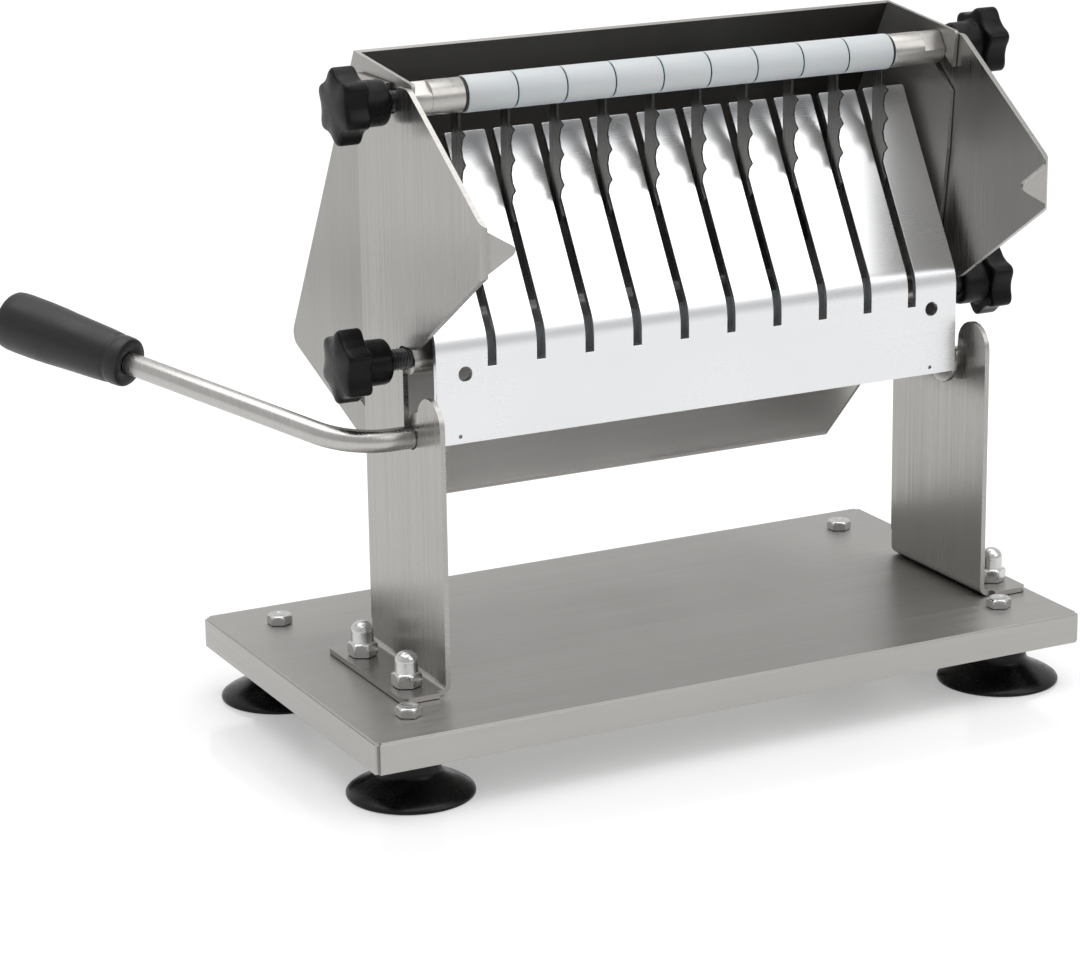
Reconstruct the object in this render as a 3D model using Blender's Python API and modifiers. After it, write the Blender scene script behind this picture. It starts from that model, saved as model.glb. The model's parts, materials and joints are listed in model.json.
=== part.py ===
"""Hand-lever sausage slicer: brushed-steel stand, ten-blade cartridge, slotted pusher plate and catcher.

Frame: metres, +Z up, Z = 0 on the surface the suction feet stand on. The origin is the middle of the
whole object's footprint. +X runs along the base towards the side without a lever, -Y is the loading side.
Every sub-part is placed in the stand's own frame, whose origin is under the middle of the base plate;
the empty "assembly" carries that frame to its place.
"""
import math

import bmesh
import bpy
from mathutils import Matrix, Vector

# ---------------------------------------------------------------- driving dimensions (metres)
GAP = 0.0003                    # clearance between touching pieces
STAND_X, STAND_Y = 0.0339, -0.01583     # base centre, seen from the middle of the footprint

BASE_LENGTH, BASE_WIDTH = 0.300, 0.164
BASE_TOP, BASE_SKIRT = 0.0292, 0.0174   # heights of the top face and of the skirt's lower edge
BASE_SHEET = 0.002
BASE_EDGE = 0.004
FOOT_X, FOOT_Y = 0.127, 0.0597
FOOT_LIP, FOOT_NECK = 0.0237, 0.011     # radii

HEAD_X = 0.0112                 # middle of the uprights and of everything they carry
SPAN = 0.1154                   # middle to an upright's inner face
SHEET = 0.002
FLANGE_OUT = 0.136              # middle to the end of an upright's foot
NUT_X = 0.128                   # middle to the acorn nuts
NUT_YS = (0.0035, -0.0359)
STUD_R = 0.003
SCREW_HEAD_R = 0.005

AXLE_Y, AXLE_Z, AXLE_R = -0.0227, 0.1214, 0.00425
UPPER_Y, UPPER_Z = -0.0125, 0.2431      # upper clamp bar
LOWER_Y, LOWER_Z = -0.0169, 0.1495      # lower clamp bar
BAR_STUD_R, BAR_ROD_R = 0.004, 0.003
NOTCH_R = 0.0045

BLADES = 10
PITCH = 0.01996
BLADE_THICK = 0.0008
SPACER_R, SLEEVE_R, BAR_BORE_R = 0.00675, 0.0064, 0.0033
SLEEVE_FLAT = 0.005             # bar axis to a spanner flat
STUD_OUT = 0.0190               # stud end beyond the upright's outer face

CATCHER_HALF = 0.115
CATCHER_SHEET = 0.0015

PLATE_LEFT, PLATE_RIGHT = -0.1012, 0.1212
PLATE_SHEET = 0.0022
PLATE_LEAN = math.radians(30.8)
SLOT_WIDTH, SLOT_FLOOR = 0.0035, 0.1472

LEVER_TURN = math.radians(30.5)         # arm away from the axle's own line
LEVER_RISE = math.radians(12.0)
LEVER_BEND_X, LEVER_BEND_R = -0.1303, 0.028
GRIP_START, GRIP_LENGTH = 0.102, 0.057  # along the arm, from the bend's corner

KNOB_HUB_R, KNOB_HUB, KNOB_STAR = 0.0084, 0.0106, 0.0102
KNOB_BORE = 0.0185

# ---------------------------------------------------------------- scene, collections, materials
for old in list(bpy.data.objects):
    bpy.data.objects.remove(old, do_unlink=True)

parts = bpy.data.collections.new("sausage_slicer")
tools = bpy.data.collections.new("cutters")
for collection in (parts, tools):
    bpy.context.scene.collection.children.link(collection)


def material(name, colour, roughness, metallic):
    made = bpy.data.materials.new(name)
    made.use_nodes = True
    shader = made.node_tree.nodes["Principled BSDF"]
    shader.inputs["Base Color"].default_value = (*colour, 1.0)
    shader.inputs["Roughness"].default_value = roughness
    shader.inputs["Metallic"].default_value = metallic
    return made


BRUSHED = material("brushed_steel", (0.60, 0.59, 0.57), 0.38, 1.0)
POLISHED = material("polished_steel", (0.74, 0.74, 0.74), 0.16, 1.0)
BLADE_STEEL = material("blade_steel", (0.45, 0.45, 0.45), 0.30, 1.0)
FASTENER = material("fastener_steel", (0.66, 0.66, 0.66), 0.28, 1.0)
NYLON = material("white_nylon", (0.80, 0.82, 0.82), 0.45, 0.0)
BLACK_PLASTIC = material("black_plastic", (0.02, 0.02, 0.02), 0.40, 0.0)
BLACK_RUBBER = material("black_rubber", (0.025, 0.025, 0.025), 0.60, 0.0)

assembly = bpy.data.objects.new("assembly", None)
assembly.location = (STAND_X, STAND_Y, 0.0)
parts.objects.link(assembly)
pusher_pivot = bpy.data.objects.new("pusher_pivot", None)
pusher_pivot.parent = assembly
pusher_pivot.location = (HEAD_X, AXLE_Y, AXLE_Z)
parts.objects.link(pusher_pivot)


# ---------------------------------------------------------------- modelling helpers
def mesh_object(name, mesh, place=Matrix(), finish=None):
    """A new object with its mesh in the stand's frame; finish None makes it a cutter."""
    made = bpy.data.objects.new(name, mesh)
    made.parent = assembly
    made.matrix_local = place
    if finish is None:
        tools.objects.link(made)
        made.hide_render = True
        made.display_type = "WIRE"
    else:
        mesh.materials.clear()
        mesh.materials.append(finish)
        parts.objects.link(made)
    return made


def carry(piece):
    """Hangs a piece on the pusher's hinge without moving it."""
    bpy.context.view_layer.update()
    stands = piece.matrix_local.copy()
    piece.parent = pusher_pivot
    piece.matrix_local = Matrix.Translation(pusher_pivot.location).inverted() @ stands
    return piece


def combine(piece, other, operation):
    step = piece.modifiers.new(operation.lower(), "BOOLEAN")
    step.operation = operation
    step.solver = "EXACT"
    step.object = other
    return piece


def cut(piece, *cutters):
    for cutter in cutters:
        combine(piece, cutter, "DIFFERENCE")
    return piece


def join(piece, *others):
    for other in others:
        combine(piece, other, "UNION")
    return piece


def rounded(corners, closed=True, steps=5):
    """Points of an outline whose corners (a, b[, radius]) are rounded by tangent arcs."""
    points = []
    count = len(corners)
    for index, corner in enumerate(corners):
        here = Vector(corner[:2])
        radius = corner[2] if len(corner) > 2 else 0.0
        if radius == 0.0 or (not closed and index in (0, count - 1)):
            points.append(here)
            continue
        back = (Vector(corners[index - 1][:2]) - here).normalized()
        ahead = (Vector(corners[(index + 1) % count][:2]) - here).normalized()
        half = back.angle(ahead) / 2
        centre = here + (back + ahead).normalized() * (radius / math.sin(half))
        first = here + back * (radius / math.tan(half)) - centre
        last = here + ahead * (radius / math.tan(half)) - centre
        sweep = first.angle_signed(last)
        for step in range(steps + 1):
            turn = Matrix.Rotation(-sweep * step / steps, 2)
            points.append(centre + turn @ first)
    return points


def offset_band(path, thickness):
    """Closed outline of a folded sheet: the path, and the path moved sideways by the thickness."""
    moved = []
    for index, point in enumerate(path):
        before = path[max(index - 1, 0)]
        after = path[min(index + 1, len(path) - 1)]
        first = (point - before).normalized() if index else (after - point).normalized()
        second = (after - point).normalized() if index < len(path) - 1 else first
        side = Vector((-first.y - second.y, first.x + second.x)).normalized()
        side_length = thickness / max(side.dot(Vector((-first.y, first.x))), 0.2)
        moved.append(point + side * side_length)
    return list(path) + moved[::-1]


PLANES = {                      # outline axes a, b and the way it is extruded
    "YZ": (Vector((0, 1, 0)), Vector((0, 0, 1))),
    "XZ": (Vector((1, 0, 0)), Vector((0, 0, 1))),
    "XY": (Vector((1, 0, 0)), Vector((0, 1, 0))),
}


def extruded_mesh(name, outlines, thickness):
    """A filled 2D curve with thickness, turned into a closed mesh."""
    curve = bpy.data.curves.new(name, "CURVE")
    curve.dimensions = "2D"
    curve.fill_mode = "BOTH"
    curve.extrude = thickness / 2
    for outline in outlines:
        spline = curve.splines.new("POLY")
        spline.points.add(len(outline) - 1)
        for slot, point in zip(spline.points, outline):
            slot.co = (point[0], point[1], 0.0, 1.0)
        spline.use_cyclic_u = True
    holder = bpy.data.objects.new(name, curve)
    tools.objects.link(holder)
    bpy.context.view_layer.update()
    depsgraph = bpy.context.evaluated_depsgraph_get()
    mesh = bpy.data.meshes.new_from_object(holder.evaluated_get(depsgraph))
    bpy.data.objects.remove(holder, do_unlink=True)
    bm = bmesh.new()
    bm.from_mesh(mesh)
    bmesh.ops.remove_doubles(bm, verts=bm.verts, dist=0.000002)
    bmesh.ops.recalc_face_normals(bm, faces=bm.faces)
    bm.to_mesh(mesh)
    bm.free()
    return mesh


def flat(name, outline, plane, low, high, finish=None, holes=()):
    """A flat piece: an outline in a plane, between two heights along the third axis."""
    across, up = PLANES[plane]
    out = across.cross(up)
    reach = abs(high - low)
    middle = Vector([abs(value) for value in out]) * (low + high) / 2
    place = Matrix((across, up, out)).transposed().to_4x4()
    place.translation = middle
    mesh = extruded_mesh(name, [outline, *holes], reach)
    return mesh_object(name, mesh, place, finish)


def circle(a, b, radius, count=24):
    return [Vector((a + radius * math.cos(math.tau * k / count),
                    b + radius * math.sin(math.tau * k / count))) for k in range(count)]


def turned(name, profile, place=Matrix(), finish=None, steps=16):
    """A solid of revolution about its own Z; the profile (radius, height) runs down its outer side."""
    mesh = bpy.data.meshes.new(name)
    verts = [(radius, 0.0, height) for radius, height in profile]
    edges = [(k, k + 1) for k in range(len(verts) - 1)]
    if profile[0][0] > 0.0:
        edges.append((len(verts) - 1, 0))
    mesh.from_pydata(verts, edges, [])
    made = mesh_object(name, mesh, place, finish)
    screw = made.modifiers.new("turn", "SCREW")
    screw.steps = steps
    screw.render_steps = steps
    screw.use_merge_vertices = True
    screw.merge_threshold = 0.00001
    screw.use_smooth_shade = True
    return made


def hexagon(name, width, low, high, place, finish=None):
    """A hexagonal prism of the given width across its flats."""
    mesh = bpy.data.meshes.new(name)
    bm = bmesh.new()
    radius = width / 2 / math.cos(math.pi / 6)
    bmesh.ops.create_cone(bm, cap_ends=True, segments=6, radius1=radius, radius2=radius, depth=high - low)
    bmesh.ops.translate(bm, verts=bm.verts, vec=(0, 0, (low + high) / 2))
    bm.to_mesh(mesh)
    bm.free()
    return mesh_object(name, mesh, place, finish)


def box(name, low, high, finish=None):
    mesh = bpy.data.meshes.new(name)
    bm = bmesh.new()
    bmesh.ops.create_cube(bm, size=1.0)
    size = Vector(high) - Vector(low)
    bmesh.ops.scale(bm, verts=bm.verts, vec=size)
    bm.to_mesh(mesh)
    bm.free()
    return mesh_object(name, mesh, Matrix.Translation((Vector(low) + Vector(high)) / 2), finish)


def along_x(x, y, z, turn=0.0):
    """A place whose Z axis lies along +X."""
    return Matrix.Translation((x, y, z)) @ Matrix.Rotation(math.pi / 2, 4, "Y") @ Matrix.Rotation(turn, 4, "Z")


def at(x, y, z):
    return Matrix.Translation((x, y, z))


def blade_x(index):
    return HEAD_X + (index - (BLADES - 1) / 2) * PITCH


# ---------------------------------------------------------------- base, feet and bolts
def make_base():
    mesh = bpy.data.meshes.new("base_plate")
    bm = bmesh.new()
    bmesh.ops.create_cube(bm, size=1.0)
    bmesh.ops.scale(bm, verts=bm.verts, vec=(BASE_LENGTH, BASE_WIDTH, BASE_TOP - BASE_SKIRT))
    top = [face for face in bm.faces if face.normal.z > 0.5]
    bottom = [face for face in bm.faces if face.normal.z < -0.5]
    bmesh.ops.delete(bm, geom=bottom, context="FACES")
    corners = [edge for edge in bm.edges if abs((edge.verts[0].co - edge.verts[1].co).z) > 0.001]
    bmesh.ops.bevel(bm, geom=corners, offset=0.0015, segments=2, affect="EDGES")
    top = [face for face in bm.faces if face.normal.z > 0.5]
    rim = [edge for face in top for edge in face.edges]
    bmesh.ops.bevel(bm, geom=rim, offset=BASE_EDGE, segments=4, affect="EDGES", clamp_overlap=True)
    bm.to_mesh(mesh)
    bm.free()
    base = mesh_object("base_plate", mesh, at(0, 0, (BASE_TOP + BASE_SKIRT) / 2), BRUSHED)
    wall = base.modifiers.new("sheet", "SOLIDIFY")
    wall.thickness = BASE_SHEET
    wall.offset = -1.0
    wall.use_even_offset = True
    wall.use_quality_normals = True
    for side in (-1, 1):
        for y in (-FOOT_Y, FOOT_Y):
            hole = turned("foot_hole", ((0, 0.04), (0.0028, 0.04), (0.0028, 0.02), (0, 0.02)),
                          at(side * FOOT_X, y, 0), steps=16)
            cut(base, hole)
        for y in NUT_YS:
            hole = turned("stud_hole", ((0, 0.04), (STUD_R + GAP, 0.04), (STUD_R + GAP, 0.02), (0, 0.02)),
                          at(HEAD_X + side * NUT_X, y, 0), steps=16)
            cut(base, hole)


def make_foot(name, x, y):
    neck_top = BASE_TOP - BASE_SHEET - GAP
    profile = ((0, 0.0130), (0.0028, 0.0130), (0.0028, neck_top), (FOOT_NECK, neck_top), (FOOT_NECK, 0.0100),
               (0.0116, 0.0086), (0.0138, 0.0066), (0.0176, 0.0044), (0.0217, 0.0025), (FOOT_LIP, 0.0012),
               (FOOT_LIP, 0.0), (0.0221, 0.0), (0.0180, 0.0020), (0.0120, 0.0042), (0.0050, 0.0054),
               (0, 0.0058))
    turned(name, profile, at(x, y, 0), BLACK_RUBBER, steps=20)


def make_foot_bolt(name, x, y):
    seat = BASE_TOP + GAP
    head = hexagon(name, 0.00865, seat, seat + 0.0036, at(x, y, 0), FASTENER)
    shank = turned("bolt_shank", ((0, seat + 0.001), (0.0025, seat + 0.001), (0.0025, 0.0145), (0, 0.0145)),
                   at(x, y, 0), steps=16)
    crown = turned("bolt_crown", ((0, seat + 0.0042), (0.0036, seat + 0.0042), (0.0056, seat + 0.0031),
                                  (0.0056, seat - 0.0010), (0, seat - 0.0010)), at(x, y, 0), steps=24)
    combine(head, crown, "INTERSECT")
    join(head, shank)


def make_acorn_nut(name, x, y):
    """Cap nut in one piece with the flat-headed screw that comes up through base and flange."""
    seat = BASE_TOP + GAP + SHEET + GAP
    nut = hexagon(name, 0.0100, seat, seat + 0.0050, at(x, y, 0), FASTENER)
    dome_height = seat + 0.0132
    radius = 0.0043
    shoulder = dome_height - radius * 0.9
    arc = [(radius * math.sin(math.pi / 2 * k / 4), shoulder + radius * 0.9 * math.cos(math.pi / 2 * k / 4))
           for k in range(5)]
    dome = turned("nut_dome", (*arc, (radius, seat + 0.002), (0, seat + 0.002)), at(x, y, 0))
    crown = turned("nut_crown", ((0, seat + 0.0056), (0.0043, seat + 0.0056), (0.0066, seat + 0.0043),
                                 (0.0066, seat - 0.0010), (0, seat - 0.0010)), at(x, y, 0))
    head_top = BASE_TOP - BASE_SHEET - GAP
    screw = turned("nut_screw", ((0, seat + 0.002), (STUD_R, seat + 0.002), (STUD_R, head_top),
                                 (SCREW_HEAD_R, head_top), (SCREW_HEAD_R, head_top - 0.0030),
                                 (0, head_top - 0.0030)), at(x, y, 0))
    combine(nut, crown, "INTERSECT")
    join(nut, dome, screw)


# ---------------------------------------------------------------- uprights
TIP_Y, TIP_LOW, TIP_HIGH = -0.085, 0.1928, 0.2100
TIP_IN = 0.0125                 # how far the stop flap reaches in from the inner face
FRONT_SLOPE = (0.2494 - TIP_HIGH) / (-0.026 - TIP_Y)
UNDER_SLOPE = (0.1548 - TIP_LOW) / (-0.0275 - TIP_Y)


def side_outline():
    """The upright seen from the side: leg, ear with its open axle slot, strip and raised side plate."""
    past = TIP_Y - 0.002
    return rounded([
        (0.0186, 0.0400), (0.0186, 0.2490, 0.001),
        (UPPER_Y + NOTCH_R, 0.2490), (UPPER_Y + NOTCH_R, UPPER_Z - NOTCH_R, 0.00449),
        (UPPER_Y - NOTCH_R, UPPER_Z - NOTCH_R, 0.00449), (UPPER_Y - NOTCH_R, 0.2490),
        (-0.0260, 0.2493, 0.006),
        (past, TIP_HIGH + FRONT_SLOPE * (past - TIP_Y)), (past, TIP_LOW + UNDER_SLOPE * (past - TIP_Y)),
        (-0.0275, 0.1548, 0.002),
        (LOWER_Y + NOTCH_R, LOWER_Z + NOTCH_R, 0.00449), (LOWER_Y + NOTCH_R, LOWER_Z - NOTCH_R, 0.0030),
        (-0.0162, LOWER_Z - NOTCH_R),
        (-0.0162, 0.11645, 0.0057), (-0.0277, 0.11645, 0.0057),
        (-0.0277, 0.1388, 0.0096), (-0.0471, 0.1388, 0.0096), (-0.0471, 0.0400),
    ])


def make_upright(name, side):
    """One bent sheet; side -1 is the lever side."""
    inner, outer = SPAN, SPAN + SHEET

    def placed(points):
        return [Vector((HEAD_X + side * x, y)) for x, y in points]

    wall = rounded([(outer, 0.0250), (outer, TIP_Y, 0.0035), (inner - TIP_IN - 0.003, TIP_Y)], closed=False)
    sheet = flat(name, placed(offset_band([Vector(p) for p in wall], -SHEET)), "XY", 0.0300, 0.2600, BRUSHED)
    low_x, high_x = sorted((HEAD_X + side * (inner - 0.020), HEAD_X + side * (outer + 0.010)))
    blank = flat("side_blank", side_outline(), "YZ", low_x, high_x)
    combine(sheet, blank, "INTERSECT")

    near = inner - 0.0002
    apex = (inner - TIP_IN, (TIP_LOW + TIP_HIGH) / 2)
    trim = rounded([(near, 0.2140), (inner - 0.022, 0.2140), (inner - 0.022, 0.1880), (near, 0.1880),
                    (near, TIP_LOW + 0.0012), (*apex, 0.002), (near, TIP_HIGH - 0.0012)])
    cut(sheet, flat("tip_trim", placed(trim), "XZ", TIP_Y - 0.0030, TIP_Y + 0.0035))

    seat = BASE_TOP + GAP
    foot_path = rounded([(inner, 0.0600), (inner, seat, 0.004), (FLANGE_OUT - 0.004, seat)], closed=False)
    foot = flat("foot_fold", placed(offset_band([Vector(p) for p in foot_path], SHEET)), "XZ",
                -0.0471, 0.0180)
    pad = rounded([(outer + 0.0035, -0.0496), (FLANGE_OUT, -0.0496, 0.003), (FLANGE_OUT, 0.0186, 0.003),
                   (outer + 0.0035, 0.0186)])
    pad_piece = flat("foot_pad", placed(pad), "XY", seat, seat + SHEET)
    join(foot, pad_piece)
    join(sheet, foot)
    for y in NUT_YS:
        hole = turned("flange_hole", ((0, 0.040), (0.0033, 0.040), (0.0033, 0.026), (0, 0.026)),
                      at(HEAD_X + side * NUT_X, y, 0), steps=16)
        cut(sheet, hole)


# ---------------------------------------------------------------- catcher
BACK_TOP = (0.0252, 0.2558)
HEEL = (0.0936, 0.1334)         # where the back wall's and the floor's outer lines meet
FLOOR_FRONT = (-0.0105, 0.0940)
LIP = 0.0144                    # upright height of the side lips over the floor's underside


def floor_z(y):
    slope = (HEEL[1] - FLOOR_FRONT[1]) / (HEEL[0] - FLOOR_FRONT[0])
    return FLOOR_FRONT[1] + slope * (y - FLOOR_FRONT[0])


def make_catcher():
    fold = rounded([FLOOR_FRONT, (*HEEL, 0.005), BACK_TOP], closed=False)
    low, high = HEAD_X - CATCHER_HALF + 0.0004, HEAD_X + CATCHER_HALF - 0.0004
    catcher = flat("catcher", offset_band(fold, CATCHER_SHEET), "YZ", low, high, BRUSHED)
    inset = 0.0001
    wall = rounded([
        (FLOOR_FRONT[0] + inset, FLOOR_FRONT[1] + inset), (HEEL[0] - inset, HEEL[1] + inset, 0.0048),
        (BACK_TOP[0] - inset, BACK_TOP[1] - inset), (-0.0248, 0.2505, 0.001), (-0.0222, 0.2266, 0.002),
        (-0.0203, 0.2042), (-0.0167, 0.1783), (-0.0150, 0.1680, 0.004),
        (0.0500, floor_z(0.0500) + LIP, 0.004), (FLOOR_FRONT[0] + inset, floor_z(FLOOR_FRONT[0]) + LIP, 0.002),
    ])
    for side in (-1, 1):
        ends = sorted((HEAD_X + side * (CATCHER_HALF - CATCHER_SHEET), HEAD_X + side * CATCHER_HALF))
        join(catcher, flat("catcher_end", wall, "YZ", *ends))
    hook = rounded([
        (UPPER_Y + NOTCH_R, UPPER_Z + NOTCH_R, 0.0044), (UPPER_Y - NOTCH_R, UPPER_Z + NOTCH_R, 0.0044),
        (UPPER_Y - NOTCH_R, 0.2408, 0.002), (-0.0300, 0.2320), (-0.0300, 0.2208), (-0.0222, 0.2270),
        (UPPER_Y + NOTCH_R, 0.2384, 0.002),
    ])
    cut(catcher, flat("hook_slot", hook, "YZ", HEAD_X - 0.13, HEAD_X + 0.13))
    clip_from, clip_to = Vector((0.0776, -0.0105)), Vector((0.1262, 0.0295))
    reach = (clip_to - clip_from) * 0.12
    start, end = clip_from - reach, clip_to + reach
    clip = [start, end, Vector((end.x, start.y))]
    cut(catcher, flat("corner_clip", clip, "XY", 0.0850, 0.1320))


# ---------------------------------------------------------------- blade cartridge
SCALLOPS, SCALLOP_PITCH, SCALLOP_DEPTH = 6, 0.0113, 0.0033
SCALLOP_STEPS = 4
EDGE_Y, EDGE_TOP = -0.0149, 0.2286
EYE_R = 0.0062


def scallop_points():
    """The cutting edge from its top cusp down: shallow arcs that meet in points."""
    chord = SCALLOP_PITCH / 2
    radius = (chord ** 2 + SCALLOP_DEPTH ** 2) / (2 * SCALLOP_DEPTH)
    half_angle = math.asin(chord / radius)
    points = []
    for scallop in range(SCALLOPS):
        middle = EDGE_TOP - (scallop + 0.5) * SCALLOP_PITCH
        for step in range(SCALLOP_STEPS):
            angle = half_angle * (1 - 2 * step / SCALLOP_STEPS)
            y = EDGE_Y + SCALLOP_DEPTH - radius + radius * math.cos(angle)
            points.append(Vector((y, middle + radius * math.sin(angle))))
    points.append(Vector((EDGE_Y, EDGE_TOP - SCALLOPS * SCALLOP_PITCH)))
    return points


def blade_outline():
    upper = rounded([
        (-0.0040, 0.1680), (-0.0042, 0.2360, 0.003), (UPPER_Y + EYE_R, 0.2420, 0.003),
        (UPPER_Y + EYE_R, UPPER_Z + EYE_R, 0.0060), (UPPER_Y - EYE_R, UPPER_Z + EYE_R, 0.0060),
        (UPPER_Y - EYE_R, UPPER_Z - EYE_R, 0.0050), (-0.0107, UPPER_Z - EYE_R, 0.0008), (-0.0107, 0.2303, 0.0006),
    ], closed=False, steps=4)
    lower = rounded([
        (-0.0120, 0.1592), (-0.0122, LOWER_Z + EYE_R + 0.0003, 0.0008), (LOWER_Y - EYE_R, LOWER_Z + EYE_R, 0.0060),
        (LOWER_Y - EYE_R, LOWER_Z - EYE_R, 0.0060), (LOWER_Y + EYE_R, LOWER_Z - EYE_R, 0.0060),
        (LOWER_Y + EYE_R, 0.1545, 0.002), (-0.0040, 0.1640),
    ], closed=False, steps=4)
    return upper[1:] + scallop_points() + lower + upper[:1]


def make_blades():
    rod_holes = [circle(UPPER_Y, UPPER_Z, BAR_BORE_R, 12), circle(LOWER_Y, LOWER_Z, BAR_BORE_R, 12)]
    for index in range(BLADES):
        x = blade_x(index)
        flat(f"blade_{index + 1:02d}", blade_outline(), "YZ", x - BLADE_THICK / 2, x + BLADE_THICK / 2,
             BLADE_STEEL, holes=rod_holes)


def make_bar(label, y, z, sleeve_out, flat_angles):
    """A clamp bar: spacers between the blades, the rod with its left sleeve, and the right sleeve nut."""
    length = PITCH - BLADE_THICK - 2 * GAP
    for index in range(BLADES - 1):
        x = (blade_x(index) + blade_x(index + 1)) / 2
        ends = (length / 2, -length / 2)
        profile = ((SPACER_R, ends[0]), (SPACER_R, ends[1]), (BAR_BORE_R, ends[1]), (BAR_BORE_R, ends[0]))
        turned(f"{label}_spacer_{index + 1}", profile, along_x(x, y, z), NYLON)
    inner = blade_x(BLADES - 1) - HEAD_X + BLADE_THICK / 2 + GAP
    stud_end = SPAN + SHEET + STUD_OUT
    chamfer = 0.0006
    left = ((0, inner + 0.016), (BAR_ROD_R, inner + 0.016), (BAR_ROD_R, -inner), (SLEEVE_R - 0.0002, -inner),
            (SLEEVE_R, -inner - 0.0002), (SLEEVE_R, -sleeve_out + chamfer), (SLEEVE_R - chamfer, -sleeve_out),
            (BAR_STUD_R, -sleeve_out), (BAR_STUD_R, -stud_end + chamfer), (BAR_STUD_R - chamfer, -stud_end),
            (0, -stud_end))
    rod = turned(f"{label}_rod", left, along_x(HEAD_X, y, z), FASTENER)
    right = ((0, stud_end), (BAR_STUD_R - chamfer, stud_end), (BAR_STUD_R, stud_end - chamfer),
             (BAR_STUD_R, sleeve_out), (SLEEVE_R - chamfer, sleeve_out), (SLEEVE_R, sleeve_out - chamfer),
             (SLEEVE_R, inner + 0.0002), (SLEEVE_R - 0.0002, inner), (BAR_BORE_R, inner),
             (BAR_BORE_R, inner + 0.017), (0, inner + 0.017))
    nut = turned(f"{label}_sleeve_nut", right, along_x(HEAD_X, y, z), FASTENER)
    for piece, side, angle in ((rod, -1, flat_angles[0]), (nut, 1, flat_angles[1])):
        for facing in (angle, angle + math.pi):
            out = Vector((0, -math.cos(facing), math.sin(facing)))
            middle = Vector((HEAD_X + side * (sleeve_out - 0.0035), y, z)) + out * (SLEEVE_FLAT + 0.003)
            shaver = box("spanner_flat", (-0.006, -0.010, -0.003), (0.006, 0.010, 0.003))
            shaver.matrix_local = Matrix.Translation(middle) @ Matrix.Rotation(math.pi / 2 - facing, 4, "X")
            cut(piece, shaver)


# ---------------------------------------------------------------- star knobs
def star_radius(angle):
    """Six broad lobes with narrower hollows between them."""
    return 0.0125 + 0.0013 * math.cos(6 * angle) + 0.0002 * math.cos(12 * angle)


def make_knob(name, side, y, z, stand_off, turn):
    """Hub towards the upright, lobed head outwards, blind bore for the bar's stud."""
    face = HEAD_X + side * (SPAN + SHEET + stand_off)
    place = along_x(face, y, z, turn) if side > 0 else \
        Matrix.Translation((face, y, z)) @ Matrix.Rotation(-math.pi / 2, 4, "Y") @ Matrix.Rotation(turn, 4, "Z")
    count = 30
    star = [Vector((star_radius(math.tau * k / count) * math.cos(math.tau * k / count),
                    star_radius(math.tau * k / count) * math.sin(math.tau * k / count))) for k in range(count)]
    head_mesh = extruded_mesh(name, [star], KNOB_STAR)
    head = mesh_object(name, head_mesh, place @ at(0, 0, KNOB_HUB + KNOB_STAR / 2), BLACK_PLASTIC)
    top = KNOB_HUB + KNOB_STAR
    crown = turned("knob_crown", ((0, top - 0.0002), (0.0110, top - 0.0004), (0.0130, top - 0.0012),
                                  (0.0142, top - 0.0030), (0.0142, KNOB_HUB + 0.0016),
                                  (0.0132, KNOB_HUB + 0.0004), (0.0124, KNOB_HUB - 0.0004),
                                  (0, KNOB_HUB - 0.0004)), place)
    hub = turned("knob_hub", ((0, KNOB_HUB + 0.001), (KNOB_HUB_R, KNOB_HUB + 0.001), (KNOB_HUB_R, 0.0016),
                              (KNOB_HUB_R - 0.0005, 0.0005), (KNOB_HUB_R - 0.0016, 0), (0, 0)), place)
    bore = turned("knob_bore", ((0, KNOB_BORE), (0.0043, KNOB_BORE), (0.0043, -0.001), (0, -0.001)), place,
                  steps=16)
    combine(head, crown, "INTERSECT")
    join(head, hub)
    cut(head, bore)
    return head


# ---------------------------------------------------------------- pusher: plate, brackets, lever, grip
PLATE_FOOT = (-0.0342, 0.1195)
PLATE_BEND = (-0.0342, 0.1579)
PLATE_TOP = (0.0062, 0.2258)
HOLE_Z, HOLE_R = 0.1454, 0.00275
DIMPLE_Z, DIMPLE_R = 0.1222, 0.0007
TOOTH_CORNER = 0.0008


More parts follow.
